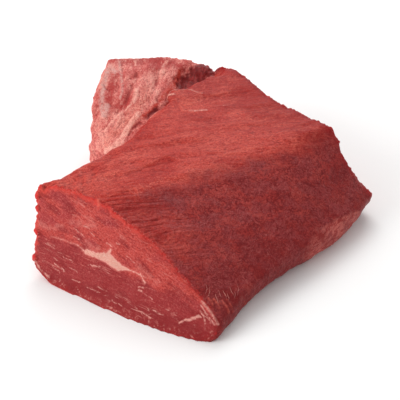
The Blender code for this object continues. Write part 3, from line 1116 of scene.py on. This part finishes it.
def cut_colour(r, n, along, up, spot):
    patch = r.grain_noise(spot, CUT_GRAIN, 16, 6, 40)
    broad = r.grain_noise(spot, CUT_GRAIN, 22, 11, 15, detail=2)
    grit = r.grain_noise(spot, CUT_GRAIN, 1.6, 0.9, roughness=0.7)
    upper_streak = r.grain_noise(spot, CUT_GRAIN, 8.0, 1.5, 20, roughness=0.6, distortion=0.4)
    lower_streak = r.grain_noise(spot, LOWER_GRAIN, 9.0, 1.5, 45, roughness=0.65, distortion=0.4)
    hairs = r.grain_noise(spot, LOWER_GRAIN + 0.1, 15, 2.0, 77, detail=1, distortion=0.4)
    shake = n.shake.swing(1.8)
    boundary = up - (along * 0.11 + 3.3 - along * along * 0.0006)
    lower = (boundary + patch.swing(14.0) + shake).ramp(3.0, -3.0)
    streak = upper_streak * (1.0 - lower) + lower_streak * lower
    haze = strokes(r, spot, HAZE) + n.wear.swing(9.0)
    flecks = strokes(r, bent(r, spot), FLECKS) + shake * 0.5
    flesh = r.mix(CUT_UPPER, CUT_MAUVE, (broad * 0.7 + patch * 0.3).ramp(0.53, 0.38))
    flesh = r.layers(
        r.mix(flesh, CUT_LOWER, lower),
        (CUT_DEEP, patch.ramp(0.48, 0.36, 0.6)),
        (CUT_PINK, grit.ramp(0.51, 0.64) * (0.50 - lower * 0.25)),
        (CUT_DEEP, grit.ramp(0.49, 0.37, 0.55)),
        (CUT_DEEP, streak.ramp(0.45, 0.33, 0.6)),
        (CUT_PINK, streak.ramp(0.57, 0.70) * broad.ramp(0.38, 0.54, 0.75)),
        (CUT_DEEP, up.ramp(-12.0, -21.0, 0.8)),
        (CUT_PINK, haze.ramp(2.0, -1.5, 0.6)),
        (FLECK, flecks.ramp(0.45, -0.45) * n.wear.ramp(0.30, 0.46, 0.95)),
        (CUT_DEEP, n.tiny.ramp(0.50, 0.38, 0.4)),
        (FLECK, r.threads(hairs, 0.030) * lower * n.cloud.ramp(0.48, 0.58) * broad.ramp(0.42, 0.54, 0.6)),
    )
    fat = r.layers(
        r.mix(FAT, FAT_WHITE, grit.ramp(0.50, 0.60, 0.6)),
        (CUT_PINK, (grit * 0.4 + upper_streak * 0.6).ramp(0.48, 0.38, 0.5)),
    )
    seam = strokes(r, spot, SEAM) + shake * 1.2 + n.wear.swing(1.6)
    return r.layers(
        flesh,
        (CUT_PINK, seam.ramp(1.4, 0.2, 0.5)),
        (r.mix(FLECK, fat, seam.ramp(0.0, -1.0)), seam.ramp(0.35, -0.35)),
    )


# %% The rim of the near cut
def with_rim(r, n, skin, near, along, up):
    """The red edge of the cut with a painted see-through glow, strongest on the ridge, and pale scraps at its
    foot.
    """
    bead, ridge = r.mask("bead"), up.ramp(-16.0, 2.0)
    glow = near.ramp(-1.8, 0.3) * (near + n.wear.swing(9.0)).ramp(4.0, 0.0)
    band = near.ramp(-2.2, -0.8) * (near + n.shake.swing(3.0)).ramp(1.2, -0.4)
    foot = near.ramp(0.0, 1.0) * near.ramp(9.0, 2.0) * (1.0 - ridge)
    spots = (bead + n.mottle * 1.6 - 0.8).ramp(0.20, 0.60)
    return r.layers(
        skin,
        # Painted glow of light through the thin edge, strongest along the ridge.
        (RIM_GLOW, glow * (ridge * 0.75 + 0.05) * (along.ramp(-60.0, 25.0, 0.75) + 0.25)),
        (RIM_RED, band * n.wear.ramp(0.40, 0.60) * (ridge * 0.45 + 0.15)),
        (TOP_DARK, band * n.mottle.ramp(0.48, 0.38, 0.5)),
        (CUT_PINK, band * n.shake.ramp(0.54, 0.64) * ridge * 0.6),
        # A faint painted glow along the foot.
        (RIM_GLOW, foot * n.cloud.ramp(0.44, 0.60, 0.08)),
        (CUT_PINK, foot * n.wear.ramp(0.50, 0.62, 0.2)),
        (FLECK, foot * (n.mottle * 0.5 + n.wear * 0.5).ramp(0.55, 0.63, 0.5)),
        (RIM_RED, spots * (bead.ramp(0.6, 1.1, 0.6) + (1.0 - ridge * 0.6) * 0.25)),
    )


# %% The whole skin
def brushed(r, n, name, edge, tear):
    """1 on a line that was stored on the mesh and 0 beside it, with a torn edge and worn places."""
    line = (r.mask(name) + n.shake.swing(tear)).ramp(edge, -edge)
    return line * (n.wear.ramp(0.38, 0.56, 0.65) + 0.35)


def skin_colour(r, n):
    near, far = r.mask("near_cut"), r.mask("far_cut")
    along, up, spot = cut_map(r)
    # Painted shade: the pocket and the hollows under the flap are painted dark maroon, with streaks of redder
    # shaded flesh.
    hollow_shade = (r.mask("painted_hollow_shade") + n.lobe.swing(10.0) + n.wear.swing(4.0)).ramp(2.5, -2.0)
    pocket = r.mix(POCKET_SHADE, POCKET_SHADED_RED, (n.lobe * 0.5 + n.wrinkle * 0.5).ramp(0.46, 0.60, 0.8))
    skin = r.layers(
        slab_colour(r, n),
        (heel_colour(r, n), r.mask("heel")),
        # A painted red glow on the heel's wall beside the crevice.
        (GLOW_RED, brushed(r, n, "red_glow", 1.3, 4.0) * 0.85),
        (SKIN_WHITE, brushed(r, n, "silverskin", 1.2, 5.5) * 0.95),
        (HEEL_PALE, brushed(r, n, "pale_fat", 1.0, 4.0) * 0.9),
        (pocket, hollow_shade * 0.92),
        (cut_colour(r, n, along, up, spot), near.most(far).ramp(-0.4, 0.8)),
    )
    return r.layers(
        with_rim(r, n, skin, near, along, up),
        (RIM_RED, r.mask("far_rim") * (n.mottle.ramp(0.4, 0.6, 0.45) + 0.40)),
        # Painted highlights, with pale strips of membrane by the front corner.
        (TOP_PALE, brushed(r, n, "glints", 0.7, 3.6) * 0.7),
        (FLECK, brushed(r, n, "threads", 0.5, 2.4) * 0.85),
        # Painted shade where the skin lies lower than round it.
        (TOP_DARK, r.mask("standing").ramp(-0.05, -0.35, 0.5)),
        (TOP_DARK, n.tiny.ramp(0.50, 0.38) * near.ramp(1.0, -1.0, 0.35)),
    )


# %% The meat's material
ROUGHNESS, ROUGHNESS_SPREAD, BUMP_DEPTH, GLOSS = 0.52, 0.2, 0.0013, 0.12
# Light goes a little way into meat, and red light goes the furthest.
DEPTH_SHARE, DEPTH, DEPTH_COLOURS = 0.04, 0.002, (1.0, 0.3, 0.2)


def meat_material():
    r = MeatRecipe("meat")
    n = meat_noises(r)
    grainy = r.mask("above_crease").ramp(-40.0, -5.0).most(r.mask("torn"))
    height = (n.grain * 0.25 + n.fine * 0.35) * grainy + n.mottle * (0.36 - grainy * 0.16) + n.tiny * 0.2
    return r.finish(
        Base_Color=skin_colour(r, n), Roughness=ROUGHNESS - n.tiny * ROUGHNESS_SPREAD,
        Normal=r.bump(height, BUMP_DEPTH), Specular_IOR_Level=GLOSS,
        Subsurface_Weight=DEPTH_SHARE, Subsurface_Radius=DEPTH_COLOURS, Subsurface_Scale=DEPTH,
    )


mesh.materials.clear()
mesh.materials.append(meat_material())
print("meat material with", len(mesh.materials[0].node_tree.nodes), "nodes")

# %% The roast takes the solid's place
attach(roast, "root")
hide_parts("roast")

# %% [markdown]
# By the front corner the torn membrane hangs down the front in pale threads, finer than the skin's own
# quads. Each is a thin closed tube along a slightly bent line. Each place on the line is moved to the
# nearest spot on the surface, so that a thread lies on it like a hair.

# %% Threads of torn membrane
THREAD_COUNT, THREAD_LENGTH, THREAD_RADIUS, THREAD_STEPS = 9, 8.0, 0.15, 14
THREADS_MIDDLE, THREADS_SPREAD = (-66, -83, 24), 13.0
TUBE_SIDES, TIP_SHARE, TUBE_LIFT = 6, 0.35, 0.7
dice = np.random.default_rng(11)
surface = BVHTree.FromObject(roast, bpy.context.evaluated_depsgraph_get())


def laid(place):
    """The nearest spot on the meat, and the way that the meat faces there."""
    spot, normal, _, _ = surface.find_nearest(place)
    return spot, normal


def thread_line(east, north):
    """Places down the meat along a slightly bent line that starts east and north of the middle."""
    spot, normal = laid(Vector(THREADS_MIDDLE) * MM)
    down = (Vector((0, 0, -1)) + normal * normal.z).normalized()
    side = normal.cross(down)
    length = THREAD_LENGTH * dice.uniform(0.5, 1.2) * MM
    lean, bend = dice.uniform(0.0, 0.5), dice.uniform(-0.5, 0.3)
    line = []
    for i in range(THREAD_STEPS):
        run = length * i / (THREAD_STEPS - 1)
        across, along = east + run * math.sin(lean), north + run * math.cos(lean)
        line.append(laid(spot + side * across + down * along))
        lean += bend / THREAD_STEPS
    return line


def add_tube(work, line):
    """A closed tube, thinner towards its ends."""
    turns = [math.tau * k / TUBE_SIDES for k in range(TUBE_SIDES)]
    rings = []
    for i, (place, normal) in enumerate(line):
        run = line[min(i + 1, len(line) - 1)][0] - line[max(i - 1, 0)][0]
        side = run.cross(normal).normalized()
        swell = math.sin(math.pi * i / (len(line) - 1))
        thin = THREAD_RADIUS * MM * (TIP_SHARE + (1 - TIP_SHARE) * swell)
        middle = place + normal * thin * TUBE_LIFT
        around = [side * math.cos(turn) + normal * math.sin(turn) for turn in turns]
        rings.append([work.verts.new(middle + away * thin) for away in around])
    for ring, after in zip(rings, rings[1:]):
        for k in range(TUBE_SIDES):
            beside = (k + 1) % TUBE_SIDES
            work.faces.new((ring[k], ring[beside], after[beside], after[k]))
    work.faces.new(list(reversed(rings[0])))
    work.faces.new(rings[-1])


def make_threads():
    work = bmesh.new()
    for i in range(THREAD_COUNT):
        east = THREADS_SPREAD * (2 * (i + 0.5) / THREAD_COUNT - 1) * MM
        north = dice.uniform(-0.5, 0.5) * THREAD_LENGTH * MM
        add_tube(work, thread_line(east, north))
    bmesh.ops.recalc_face_normals(work, faces=work.faces)
    made = add_mesh("membrane_threads", work)
    made.data.shade_smooth()
    return made


# %% The threads' material
def thread_material():
    r = MeatRecipe("membrane_thread")
    cloud = r.noise(r.place, 3.0, detail=2)
    return r.finish(Base_Color=r.mix(FRONT_GREY, HEM_PALE, cloud.ramp(0.40, 0.60)), Roughness=0.4)


membrane = make_threads()
membrane.data.materials.append(thread_material())
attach(membrane, "root")
print("threads", len(membrane.data.polygons), "faces")

# %% [markdown]
# The studio is plain: a pale floor, an even white sky that fills the shadows, and two large soft lights.
# One stands high behind the roast and the other lower on its left, so that the front lies in a soft
# shade.

# %% Floor, sky and light
FLOOR_SIZE, FLOOR_WHITE, FLOOR_ROUGHNESS = 6.0, (0.93, 0.925, 0.92, 1.0), 0.9
SKY_WHITE, SKY_STRENGTH = (1.0, 1.0, 1.0, 1.0), 0.65
LIGHT_DISTANCE = 1.3
# Each soft light: where it stands, its size in metres and its power in watts.
LIGHTS = {
    "back_light": ((0.61, 0.35, 0.71), 0.9, 8.8),
    "left_light": ((-0.79, 0.45, 0.42), 0.9, 11.0),
}


def make_floor():
    work = bmesh.new()
    bmesh.ops.create_grid(work, x_segments=1, y_segments=1, size=FLOOR_SIZE / 2)
    floor = add_mesh("floor", work)
    paint = Recipe("floor_paint")
    floor.data.materials.append(paint.finish(Base_Color=FLOOR_WHITE, Roughness=FLOOR_ROUGHNESS))


def make_soft_light(name, towards, size, power):
    direction = Vector(towards).normalized()
    lamp = bpy.data.lights.new(name, "AREA")
    lamp.energy = power
    lamp.size = size
    light = add_object(name, lamp)
    light.location = direction * LIGHT_DISTANCE
    light.rotation_euler = direction.to_track_quat("Z", "Y").to_euler()


make_floor()
for name, settings in LIGHTS.items():
    make_soft_light(name, *settings)
world = bpy.data.worlds.new("studio")
world.use_nodes = True
sky = world.node_tree.nodes["Background"].inputs
sky["Color"].default_value = SKY_WHITE
sky["Strength"].default_value = SKY_STRENGTH
bpy.context.scene.world = world
bpy.context.scene.view_settings.view_transform = "Standard"
print("studio ready")
